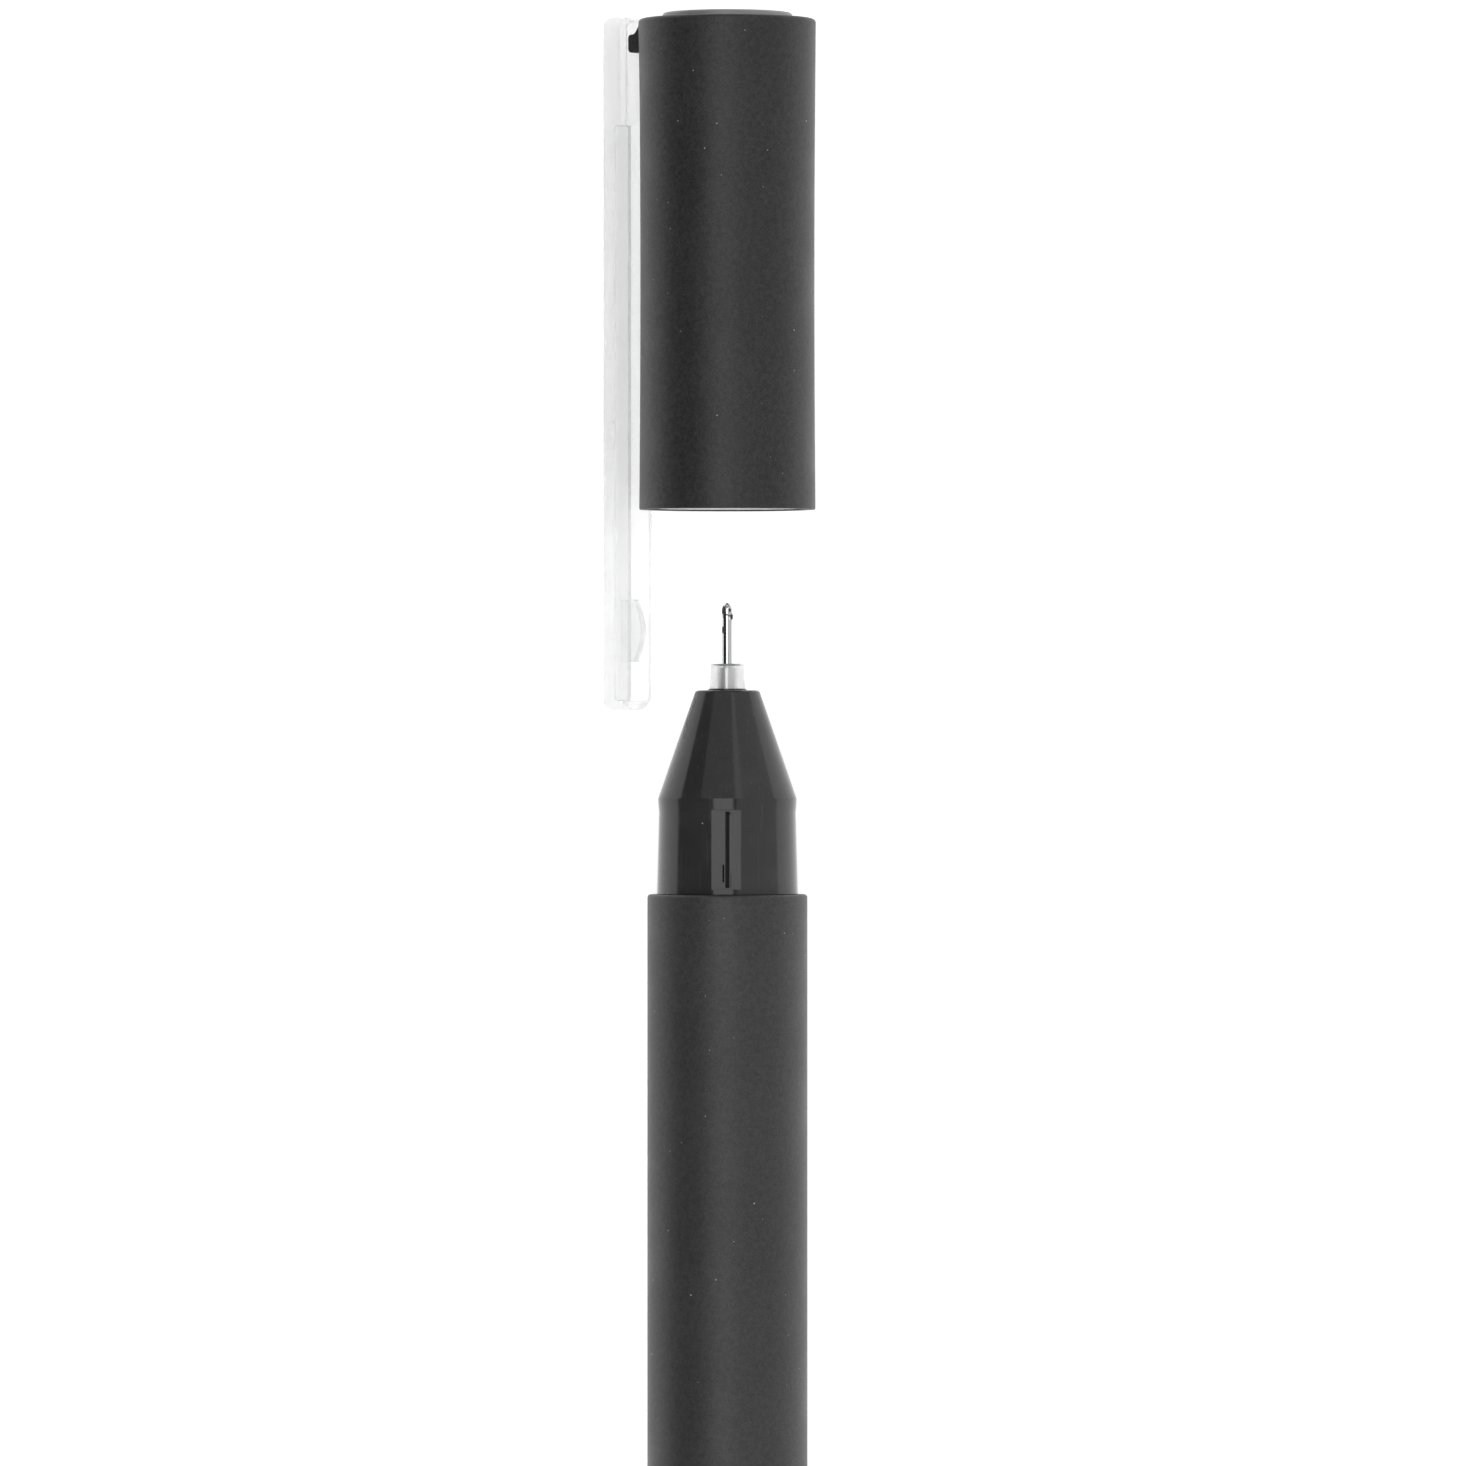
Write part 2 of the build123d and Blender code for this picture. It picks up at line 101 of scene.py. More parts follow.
bore_r = 4.1                # barrel's bore
spigot_r = 4.09
refill_room_r = 3.19
tenon_front_r = 4.28
ridge_r = 4.34
ridge_width = 0.2
ridge_lead = 0.7            # length of the gentle rise to the ridge
cone_start_x = 115.0
nose_face_x = nose_front - 0.1
nose_face_r = 2.0
lip_r = 1.2
neck_hole_r = 1.11
neck_back_x = nose_face_x - 1.85
seat_x = shoulder_x + 2.0   # the refill's collar stops here
body_end_x = seat_x + 5.0   # and its thick body ends here
panel_sink = 0.19           # depth of the tenon's flat panel below its surface
panel_start = 109.35
panel_end = 114.3
panel_width = 1.85
panel_shift = 0.07          # the panel lies a little to one side
panel_slope = 0.12          # its ends lean by this much
groove_half = 0.13          # half width and depth of the parting groove in it
groove_depth = 0.2
notch_half = 0.06           # and of the short notch beside the groove
notch_depth = 0.12
neck_r = 1.1
neck_tip_r = 1.03
needle_r = 0.345
needle_bore_r = 0.17
head_length = 0.75          # the needle's swelled head, back from its lip
swell_length = 0.2          # the tube grows into the head over this
spun_length = 0.55          # the part of the head spun in over the ball
crease_length = 0.04        # the fine crease where the spinning starts
sleeve_bore_r = 4.96
sleeve_mouth_r = 5.51
sleeve_waist = 0.08         # how far the cap is drawn in at its middle
flare_length = 8.0          # the cap rises a little under the clip, near its end
flare_rise = 0.06
liner_r = 4.95
liner_setback = 0.09
liner_mouth_r = 4.46
liner_bore_r = 4.38
bead_r = 4.36               # the ring inside the liner that holds the cap on
web_back = 153.85           # the wall across the liner
web_front = 154.85
closing_travel = mouth_x - shoulder_x - 0.1     # how far the cap slides on
lug_width = 3.1
lug_back = 1.08             # from the cap's end back to the lug's near edge
lug_top = 0.8               # length of the lug's top
clip_gap = 0.03             # from the hinge out to the clip's inner face
clip_width = 3.15
clip_plate = 0.6
clip_flange = 0.5
clip_root = 6.5             # length of the solid root
ramp_length = 3.9
ramp_crest = 5.0            # from the clip's free end to the ramp's crest
ramp_drop = 0.29            # from the clip's inner face down to the crest
ramp_width = 0.7
tongue_reach = 0.69         # how deep the clip's tongue goes into the lug
crown_rise = 0.13           # the crown stands a little proud of its drawing
root_rise = 0.25            # and so does the end of the clip's root
brim = 0.13                 # thickness of the crown's brim over the liner's end
mouth_drop = 0.07           # the cap's mouth reaches a little nearer to the pen


# ---------------------------------------------------------------- outlines

def rounded(corners, steps=6):
    """Points of an outline whose corners (x, r, rounding) are turned into arcs."""
    points = []
    count = len(corners)
    for i, (x, r, size) in enumerate(corners):
        here = Vector((x, r))
        if size <= 0:
            points.append(here)
            continue
        before = (Vector(corners[i - 1][:2]) - here).normalized()
        after = (Vector(corners[(i + 1) % count][:2]) - here).normalized()
        half = acos(max(-1.0, min(1.0, before.dot(after)))) / 2
        reach = size / tan(half)
        start = here + before * reach
        end = here + after * reach
        centre = here + (before + after).normalized() * (size / sin(half))
        for step in range(steps + 1):
            spoke = (start - centre).normalized().slerp((end - centre).normalized(), step / steps)
            points.append(centre + spoke * size)
    before = points[-1:] + points[:-1]
    return [p for p, last in zip(points, before) if (p - last).length > 0.002]


def shaded(mesh, crease=35):
    """Smooth shading that keeps edges sharper than the crease angle."""
    mesh.polygons.foreach_set("use_smooth", [True] * len(mesh.polygons))
    mesh.set_sharp_from_angle(angle=radians(crease))


def mark_edges(mesh):
    """Stores how sharply the surface turns at each point, for worn edges."""
    work = bmesh.new()
    work.from_mesh(mesh)
    layer = work.verts.layers.float.new("edge")
    for vert in work.verts:
        turn = max((e.calc_face_angle(0.0) for e in vert.link_edges), default=0.0)
        vert[layer] = max(0.0, min(1.0, (turn - radians(6)) / radians(18)))
    work.to_mesh(mesh)
    work.free()


def piece(name, work, material, crease=35):
    """A new object from a bmesh in millimetres, in the frame's metres."""
    bmesh.ops.scale(work, vec=(MM, MM, MM), verts=work.verts)
    bmesh.ops.recalc_face_normals(work, faces=work.faces)
    mesh = bpy.data.meshes.new(name)
    work.to_mesh(mesh)
    work.free()
    made = bpy.data.objects.new(name, mesh)
    bpy.context.scene.collection.objects.link(made)
    mesh.materials.append(material)
    shaded(mesh, crease)
    mark_edges(mesh)
    return made


def turned(points, facets=ROUND):
    """A bmesh turned about the pen's axis from outline points (x, r)."""
    work = bmesh.new()
    verts = [work.verts.new((p[0], p[1], 0)) for p in points]
    edges = []
    for first, second in zip(verts, verts[1:] + verts[:1]):
        if max(first.co.y, second.co.y) > 1e-6:
            edges.append(work.edges.new((first, second)))
    bmesh.ops.spin(
        work, geom=verts + edges, cent=(0, 0, 0), axis=(1, 0, 0),
        angle=2 * pi, steps=facets, use_merge=True,
    )
    bmesh.ops.remove_doubles(work, verts=work.verts, dist=1e-5)
    return work


def slab(points, width, place=Matrix.Identity(4), edge=0.0, steps=3):
    """A bmesh of a flat outline (x, y) thickened by width about z = 0, with its rims rounded."""
    work = bmesh.new()
    low = [work.verts.new((p[0], p[1], -width / 2)) for p in points]
    face = work.faces.new(low)
    grown = bmesh.ops.extrude_face_region(work, geom=[face])
    high = [g for g in grown["geom"] if isinstance(g, bmesh.types.BMVert)]
    bmesh.ops.translate(work, vec=(0, 0, width), verts=high)
    if edge > 0:
        rims = [e for e in work.edges if abs(e.verts[0].co.z - e.verts[1].co.z) < 1e-6]
        bmesh.ops.bevel(
            work, geom=rims, offset=edge, segments=steps, profile=0.5, affect="EDGES",
        )
    bmesh.ops.transform(work, matrix=place, verts=work.verts)
    return work


def clip_place():
    """Takes slab coordinates (along, out, side) to the frame."""
    return Matrix((
        (ALONG.x, OUT.x, SIDE.x, 0),
        (ALONG.y, OUT.y, SIDE.y, 0),
        (ALONG.z, OUT.z, SIDE.z, 0),
        (0, 0, 0, 1),
    ))


def carve(target, tool_work, kind="DIFFERENCE", crease=35):
    """Cuts a bmesh tool from a piece, or joins it on, and leaves one clean mesh."""
    tool = piece(target.name + "_tool", tool_work, target.data.materials[0])
    step = target.modifiers.new("carve", "BOOLEAN")
    step.operation = kind
    step.object = tool
    step.solver = "EXACT"
    bpy.context.view_layer.update()
    graph = bpy.context.evaluated_depsgraph_get()
    mesh = bpy.data.meshes.new_from_object(target.evaluated_get(graph))
    target.modifiers.clear()
    target.data = mesh
    bpy.data.objects.remove(tool)
    shaded(mesh, crease)
    mark_edges(mesh)
    return target


# ---------------------------------------------------------------- shader groups

def new_group(name, inputs, outputs):
    """An empty shader node group with float sockets; inputs are (name, default) pairs."""
    group = bpy.data.node_groups.new(name, "ShaderNodeTree")
    face = group.interface
    for label, default in inputs:
        socket = face.new_socket(name=label, in_out="INPUT", socket_type="NodeSocketFloat")
        socket.default_value = default
    for label in outputs:
        face.new_socket(name=label, in_out="OUTPUT", socket_type="NodeSocketFloat")
    entry = group.nodes.new("NodeGroupInput")
    leave = group.nodes.new("NodeGroupOutput")
    return group, entry.outputs, leave.inputs


def math(tree, kind, *values):
    """A Math node fed by sockets or plain numbers; gives its output."""
    node = tree.nodes.new("ShaderNodeMath")
    node.operation = kind
    for slot, value in zip(node.inputs, values):
        if isinstance(value, (int, float)):
            slot.default_value = value
        else:
            tree.links.new(value, slot)
    return node.outputs[0]


def remap(tree, value, low, high, to_low=0.0, to_high=1.0):
    """A clamped Map Range from low..high to to_low..to_high."""
    node = tree.nodes.new("ShaderNodeMapRange")
    node.interpolation_type = "SMOOTHSTEP"
    for label, number in (
        ("From Min", low), ("From Max", high), ("To Min", to_low), ("To Max", to_high),
    ):
        if isinstance(number, (int, float)):
            node.inputs[label].default_value = number
        else:
            tree.links.new(number, node.inputs[label])
    tree.links.new(value, node.inputs["Value"])
    return node.outputs["Result"]


def place_of(tree, stretch=(1, 1, 1)):
    """Object coordinates, stretched per axis."""
    where = tree.nodes.new("ShaderNodeTexCoord")
    scale = tree.nodes.new("ShaderNodeMapping")
    scale.inputs["Scale"].default_value = stretch
    tree.links.new(where.outputs["Object"], scale.inputs["Vector"])
    return scale.outputs["Vector"]


def noise(tree, vector, scale, detail=2.0, rough=0.5):
    """A Noise Texture's factor; scale is a socket or a number per metre."""
    node = tree.nodes.new("ShaderNodeTexNoise")
    node.inputs["Detail"].default_value = detail
    node.inputs["Roughness"].default_value = rough
    if isinstance(scale, (int, float)):
        node.inputs["Scale"].default_value = scale
    else:
        tree.links.new(scale, node.inputs["Scale"])
    tree.links.new(vector, node.inputs["Vector"])
    return node.outputs["Fac"]


def build_coating_grain():
    """Fine pebble of a sprayed soft-touch coating, with a slow cloudiness."""
    group, get, put = new_group(
        "coating grain", [("Scale", 9000.0), ("Cloud Scale", 180.0)], ["Height", "Cloud"],
    )
    where = place_of(group)
    fine = noise(group, where, get["Scale"], 3.0, 0.6)
    coarse = noise(group, where, math(group, "MULTIPLY", get["Scale"], 0.31), 2.0)
    height = math(
        group, "ADD",
        math(group, "MULTIPLY", fine, 0.65), math(group, "MULTIPLY", coarse, 0.35),
    )
    group.links.new(height, put["Height"])
    cloud = noise(group, where, get["Cloud Scale"], 4.0)
    group.links.new(remap(group, cloud, 0.3, 0.7), put["Cloud"])
    return group


def build_settled_dust():
    """Sparse specks of lint and dust."""
    group, get, put = new_group(
        "settled dust", [("Scale", 420.0), ("Size", 0.03), ("Amount", 0.2)], ["Mask"],
    )
    cells = group.nodes.new("ShaderNodeTexVoronoi")
    group.links.new(place_of(group), cells.inputs["Vector"])
    group.links.new(get["Scale"], cells.inputs["Scale"])
    apart = group.nodes.new("ShaderNodeSeparateColor")
    group.links.new(cells.outputs["Color"], apart.inputs["Color"])
    size = math(group, "MULTIPLY", get["Size"], math(group, "ADD", apart.outputs["Green"], 0.35))
    speck = math(group, "LESS_THAN", cells.outputs["Distance"], size)
    chosen = math(group, "LESS_THAN", apart.outputs["Red"], get["Amount"])
    group.links.new(math(group, "MULTIPLY", speck, chosen), put["Mask"])
    return group


def build_handling_marks():
    """Faint rubbed patches and hairlines that run along the pen."""
    group, get, put = new_group(
        "handling marks", [("Rub Scale", 260.0), ("Hairline", 0.5)], ["Rub", "Hairlines"],
    )
    rub = remap(group, noise(group, place_of(group), get["Rub Scale"], 5.0, 0.62), 0.42, 0.68)
    group.links.new(rub, put["Rub"])
    drawn = noise(group, place_of(group, (0.02, 1, 1)), 9000.0, 2.0)
    line = remap(group, drawn, 0.62, 0.7)
    group.links.new(math(group, "MULTIPLY", line, get["Hairline"]), put["Hairlines"])
    return group


def build_worn_edges():
    """Where edges are rubbed: the stored edge mark broken up by noise."""
    group, get, put = new_group(
        "worn edges", [("Amount", 0.5), ("Break Up", 2500.0)], ["Mask"],
    )
    mark = group.nodes.new("ShaderNodeAttribute")
    mark.attribute_name = "edge"
    patch = remap(group, noise(group, place_of(group), get["Break Up"], 3.0), 0.35, 0.65, 0.35, 1.0)
    patchy = math(group, "MULTIPLY", mark.outputs["Fac"], patch)
    group.links.new(math(group, "MULTIPLY", patchy, get["Amount"]), put["Mask"])
    return group


def build_painted_dark_patches():
    """Painted dark reflections round the ball and painted shade in the holder's dish: the stored
    mark with a ragged rim.
    """
    group, get, put = new_group(
        "painted dark patches", [("Amount", 1.0), ("Break Up", 14000.0)], ["Mask"],
    )
    mark = group.nodes.new("ShaderNodeAttribute")
    # the stored mark says where dark reflections and shade are painted
    mark.attribute_name = "painted_dark"
    ragged = math(group, "MULTIPLY", noise(group, place_of(group), get["Break Up"], 2.0), 0.3)
    solid = remap(group, math(group, "ADD", mark.outputs["Fac"], ragged), 0.5, 0.7)
    group.links.new(math(group, "MULTIPLY", solid, get["Amount"]), put["Mask"])
    return group


grain_group = build_coating_grain()
dust_group = build_settled_dust()
marks_group = build_handling_marks()
wear_group = build_worn_edges()
painted_dark_group = build_painted_dark_patches()


# ---------------------------------------------------------------- materials

class Finish:
    """One material: its tree, its Principled shader and the calls that wire them."""

    def __init__(self, name):
        self.material = bpy.data.materials.new(name)
        self.material.use_nodes = True
        self.tree = self.material.node_tree
        self.shader = self.tree.nodes["Principled BSDF"]

    def set(self, **values):
        for label, value in values.items():
            self.shader.inputs[label.replace("_", " ")].default_value = value

    def group(self, group, **values):
        node = self.tree.nodes.new("ShaderNodeGroup")
        node.node_tree = group
        for label, value in values.items():
            node.inputs[label.replace("_", " ")].default_value = value
        return node.outputs

    def mix(self, factor, first, second):
        """A colour mix; first and second are colours or sockets."""
        node = self.tree.nodes.new("ShaderNodeMix")
        node.data_type = "RGBA"
        self.tree.links.new(factor, node.inputs["Factor"])
        for slot, value in ((node.inputs[6], first), (node.inputs[7], second)):
            if isinstance(value, tuple):
                slot.default_value = (*value, 1)
            else:
                self.tree.links.new(value, slot)
        return node.outputs[2]

    def feed(self, label, socket):
        self.tree.links.new(socket, self.shader.inputs[label])

    def bump(self, height, distance, strength=1.0):
        node = self.tree.nodes.new("ShaderNodeBump")
        node.inputs["Strength"].default_value = strength
        node.inputs["Distance"].default_value = distance
        self.tree.links.new(height, node.inputs["Height"])
        self.feed("Normal", node.outputs["Normal"])


def soft_touch_black(name, lift):
    """Sprayed soft-touch coating: matt, faintly pebbled, with lint specks; lift makes it paler."""
    finish = Finish(name)
    finish.set(IOR=1.43)

    def tone(value):
        return (value + lift, value + lift, value + lift + 0.0005)

    grain = finish.group(grain_group, Scale=9500.0, Cloud_Scale=160.0)
    dust = finish.group(dust_group, Scale=1250.0, Size=0.05, Amount=0.5)
    marks = finish.group(marks_group, Rub_Scale=240.0, Hairline=0.25)
    wear = finish.group(wear_group, Amount=0.5, Break_Up=2500.0)
    pebble = remap(finish.tree, grain["Height"], 0.36, 0.64)
    dull = finish.mix(pebble, tone(0.012), tone(0.031))
    fresh = finish.mix(pebble, tone(0.016), tone(0.036))
    base = finish.mix(grain["Cloud"], dull, fresh)
    base = finish.mix(wear["Mask"], base, tone(0.05))
    base = finish.mix(dust["Mask"], base, (0.38, 0.38, 0.37))
    finish.feed("Base Color", base)
    finish.feed("Roughness", remap(finish.tree, marks["Rub"], 0.0, 1.0, 0.47, 0.42))
    finish.bump(grain["Height"], 0.00001, 0.8)
    return finish.material


def gloss_black():
    """Polished moulded plastic: deep black, with polishing streaks and a few specks."""
    finish = Finish("gloss_black")
    finish.set(IOR=1.43)
    dust = finish.group(dust_group, Scale=900.0, Size=0.055, Amount=0.2)
    marks = finish.group(marks_group, Rub_Scale=420.0, Hairline=0.6)
    wear = finish.group(wear_group, Amount=0.35, Break_Up=3000.0)
    base = finish.mix(marks["Rub"], (0.032, 0.032, 0.0325), (0.038, 0.038, 0.0385))
    base = finish.mix(marks["Hairlines"], base, (0.052, 0.052, 0.053))
    base = finish.mix(wear["Mask"], base, (0.05, 0.05, 0.051))
    base = finish.mix(dust["Mask"], base, (0.4, 0.4, 0.4))
    finish.feed("Base Color", base)
    rough = math(
        finish.tree, "ADD",
        remap(finish.tree, marks["Rub"], 0.0, 1.0, 0.1, 0.16),
        math(finish.tree, "MULTIPLY", marks["Hairlines"], 0.12),
    )
    finish.feed("Roughness", rough)
    grain = finish.group(grain_group, Scale=2600.0, Cloud_Scale=200.0)
    finish.bump(grain["Height"], 0.000004, 0.25)
    return finish.material


def milky_plastic(name, tint, rough, clear, body):
    """Translucent natural plastic: clouded, softly shining, with painted shade where the dark mark
    is stored.
    """
    finish = Finish(name)
    finish.set(IOR=1.38, Transmission_Weight=clear)
    grain = finish.group(grain_group, Scale=5200.0, Cloud_Scale=140.0)
    marks = finish.group(marks_group, Rub_Scale=300.0, Hairline=0.4)
    paler = tuple(min(1.0, c * 1.01) for c in tint)
    # painted shade: where the stored mark lies the plastic turns dark and nearly opaque
    painted_dark = finish.group(painted_dark_group, Amount=0.9, Break_Up=9000.0)["Mask"]
    base = finish.mix(grain["Cloud"], tint, paler)
    finish.feed("Base Color", finish.mix(painted_dark, base, (0.03, 0.03, 0.032)))
    finish.feed("Alpha", remap(finish.tree, painted_dark, 0.0, 1.0, body, 0.95))
    finish.feed("Roughness", remap(finish.tree, marks["Rub"], 0.0, 1.0, rough, rough + 0.05))
    finish.bump(grain["Height"], 0.000002, 0.08)
    return finish.material


def drawn_steel():
    """Polished drawn tube with fine lines along it."""
    finish = Finish("drawn_steel")
    marks = finish.group(marks_group, Rub_Scale=900.0, Hairline=1.0)
    base = finish.mix(marks["Hairlines"], (0.68, 0.68, 0.69), (0.55, 0.55, 0.56))
    rough = remap(finish.tree, marks["Rub"], 0.0, 1.0, 0.04, 0.08)
    # painted dark reflections: where the stored mark lies the steel turns black, not metallic and a
    # little rougher
    painted_dark = finish.group(painted_dark_group, Amount=1.0, Break_Up=14000.0)["Mask"]
    finish.feed("Base Color", finish.mix(painted_dark, base, (0.006, 0.006, 0.007)))
    finish.feed("Metallic", math(finish.tree, "SUBTRACT", 1.0, painted_dark))
    duller = math(finish.tree, "MULTIPLY", painted_dark, 0.25)
    finish.feed("Roughness", math(finish.tree, "ADD", rough, duller))
    finish.bump(marks["Hairlines"], 0.000003, 0.3)
    return finish.material


def mirror_ball():
    """Ground and lapped ball."""
    finish = Finish("mirror_ball")
    grain = finish.group(grain_group, Scale=30000.0, Cloud_Scale=6000.0)
    # painted dark reflections: where the stored mark lies the ball turns black and not metallic
    painted_dark = finish.group(painted_dark_group, Amount=1.0, Break_Up=14000.0)["Mask"]
    base = finish.mix(grain["Cloud"], (0.74, 0.74, 0.76), (0.8, 0.8, 0.81))
    finish.feed("Base Color", finish.mix(painted_dark, base, (0.006, 0.006, 0.007)))
    finish.feed("Metallic", math(finish.tree, "SUBTRACT", 1.0, painted_dark))
    finish.feed("Roughness", remap(finish.tree, grain["Cloud"], 0.0, 1.0, 0.05, 0.1))
    finish.bump(grain["Height"], 0.000001, 0.2)
    return finish.material


def satin_grey():
    """Satin moulded plastic of the crown."""
    finish = Finish("satin_grey")
    finish.set(IOR=1.5)
    grain = finish.group(grain_group, Scale=6500.0, Cloud_Scale=260.0)
    dust = finish.group(dust_group, Scale=520.0, Size=0.04, Amount=0.1)
    wear = finish.group(wear_group, Amount=0.4, Break_Up=3000.0)
    base = finish.mix(grain["Cloud"], (0.25, 0.25, 0.255), (0.31, 0.31, 0.315))
    base = finish.mix(wear["Mask"], base, (0.42, 0.42, 0.425))
    base = finish.mix(dust["Mask"], base, (0.5, 0.5, 0.5))
    finish.feed("Base Color", base)
    finish.feed("Roughness", remap(finish.tree, grain["Cloud"], 0.0, 1.0, 0.34, 0.42))
    finish.bump(grain["Height"], 0.000006, 0.5)
    return finish.material


def seal_rubber():
    """Soft elastomer with a dull bloom."""
    finish = Finish("seal_rubber")
    finish.set(IOR=1.45)
    grain = finish.group(grain_group, Scale=7000.0, Cloud_Scale=700.0)
    base = finish.mix(grain["Cloud"], (0.035, 0.035, 0.035), (0.07, 0.07, 0.068))
    finish.feed("Base Color", base)
    finish.feed("Roughness", remap(finish.tree, grain["Cloud"], 0.0, 1.0, 0.6, 0.75))
    finish.bump(grain["Height"], 0.00001, 0.6)
    return finish.material


def wet_ink():
    """Gel ink seen through the refill's wall."""
    finish = Finish("wet_ink")
    finish.set(IOR=1.38)
    grain = finish.group(grain_group, Scale=900.0, Cloud_Scale=220.0)
    base = finish.mix(grain["Cloud"], (0.004, 0.004, 0.006), (0.012, 0.012, 0.016))
    finish.feed("Base Color", base)
    finish.feed("Roughness", remap(finish.tree, grain["Height"], 0.3, 0.7, 0.08, 0.16))
    return finish.material


def follower_grease():
    """Clear yellowish grease behind the ink."""
    finish = Finish("follower_grease")
    finish.set(IOR=1.47, Transmission_Weight=0.6)
    grain = finish.group(grain_group, Scale=1200.0, Cloud_Scale=400.0)
    finish.feed("Base Color", finish.mix(grain["Cloud"], (0.78, 0.7, 0.45), (0.86, 0.8, 0.58)))
    finish.feed("Roughness", remap(finish.tree, grain["Height"], 0.3, 0.7, 0.1, 0.2))
    return finish.material


soft_black = soft_touch_black("soft_touch_black", 0.002)
# painted light: the barrel's copy of the same coating is lifted paler than the cap's
barrel_black_painted_paler = soft_touch_black("soft_touch_barrel_painted_paler", 0.017)
black = gloss_black()
milky = milky_plastic("milky_plastic", (0.978, 0.985, 0.982), 0.17, 0.78, 0.6)
neck_milky = milky_plastic("milky_neck", (0.97, 0.975, 0.97), 0.32, 0.6, 0.46)
liner_milky = milky_plastic("milky_liner", (0.97, 0.975, 0.972), 0.25, 0.1, 1.0)
tube_clear = milky_plastic("tube_plastic", (0.93, 0.94, 0.93), 0.14, 0.85, 0.6)
steel = drawn_steel()
ball_metal = mirror_ball()
crown_grey = satin_grey()
rubber = seal_rubber()
ink = wet_ink()
grease = follower_grease()


# ---------------------------------------------------------------- the pen

def make_barrel():
    corners = [
        (barrel_back, bore_r, 0.05), (barrel_back, barrel_r, 0.12),
        (shoulder_x, barrel_r, 0.2), (shoulder_x, bore_r, 0.05),
    ]
    barrel = piece("barrel_shell", turned(rounded(corners)), barrel_black_painted_paler)
    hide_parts("barrel")
    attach(barrel, "pen")


def make_end_plug():
    back, front, radius = span("barrel_end_plug")
    flange_x = barrel_back
    dimple_r = 1.5
    corners = [
        (0.12, 0, 0), (0.12, dimple_r - 0.15, 0.05), (back, dimple_r, 0.05), (back, radius, 0.8),
        (flange_x, radius, 0.1), (flange_x, spigot_r, 0.05), (front, spigot_r, 0.2),
        (front, refill_room_r, 0.1), (flange_x + 1.4, refill_room_r, 0.1), (flange_x + 1.4, 0, 0),
    ]
    plug = piece("tail_plug_shell", turned(rounded(corners)), black)
    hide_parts("barrel_end_plug")
    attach(plug, "pen")


def make_nose():
    """The spigot, tenon and cone turned in one, then the tenon's panel, groove and notch."""
    room_r = 2.6
    ridge_x = cone_start_x - ridge_width
    corners = [
        (nose_back, refill_room_r, 0.1), (nose_back, spigot_r, 0.2), (shoulder_x, spigot_r, 0),
        (shoulder_x, tenon_rear_r, 0.04), (ridge_x - ridge_lead, tenon_front_r, 0.6),
        (ridge_x, ridge_r, 0.12), (cone_start_x, ridge_r, 0.12),
        (nose_face_x, nose_face_r, 0.22), (nose_face_x, lip_r, 0.03),
        (nose_face_x + 0.1, lip_r, 0.04), (nose_face_x + 0.1, neck_hole_r, 0),
        (neck_back_x, neck_hole_r, 0), (body_end_x, room_r, 0.1), (seat_x, room_r, 0.1),
        (seat_x, refill_room_r, 0.05),
    ]
    nose = piece("nose_shell", turned(rounded(corners, 14), 192), black, 8)
    # cuts on the tenon are laid out from its rear edge, along its tapered surface
    tilt = Matrix.Rotation(atan2(tenon_rear_r - tenon_front_r, cone_start_x - shoulder_x), 4, "Y")
    surface = Matrix.Translation((panel_start, 0, tenon_rear_r)) @ tilt
    upright = Matrix(((1, 0, 0, 0), (0, 0, 1, 0), (0, 1, 0, 0), (0, 0, 0, 1)))
    across = Matrix(((0, 0, 1, 0), (1, 0, 0, 0), (0, 1, 0, 0), (0, 0, 0, 1)))
    length = panel_end - panel_start
    panel = [
        (0, -panel_sink), (length, -panel_sink), (length + panel_slope, 1), (-panel_slope, 1),
    ]
    shifted = surface @ Matrix.Translation((0, panel_shift, 0)) @ upright
    carve(nose, slab(panel, panel_width, shifted), crease=8)
    groove = [
        (-groove_half, -panel_sink), (-groove_half, 1), (groove_half, 1),
        (groove_half, -panel_sink), (0, -panel_sink - groove_depth),
    ]
    run = surface @ Matrix.Translation((length / 2, 0, 0)) @ across
    carve(nose, slab(groove, length - 0.2, run), crease=8)
    notch = [
        (-notch_half, -panel_sink), (-notch_half, 1), (notch_half, 1),
        (notch_half, -panel_sink), (0, -panel_sink - notch_depth),
    ]
    beside = surface @ Matrix.Translation((1.0, 0.25, 0)) @ across
    carve(nose, slab(notch, 1.1, beside), crease=8)
    # flash left by the mould on the panel: a sliver and a nib, as (start, stop, offset, radius)
    for start, stop, offset, radius in (
        (0.15, 1.0, -0.21, 0.035), (length - 0.3, length - 0.18, -0.19, 0.06),
    ):
        low, high = -panel_sink - radius, -panel_sink + radius
        flash = slab(rounded([
            (start, low, 0), (start, high, radius * 0.9),
            (stop, high, radius * 0.9), (stop, low, 0),
        ]), radius * 2, surface @ Matrix.Translation((0, offset, 0)) @ upright, radius * 0.6, 2)
        carve(nose, flash, "UNION", 8)
    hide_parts("nose_section")
    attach(nose, "pen")


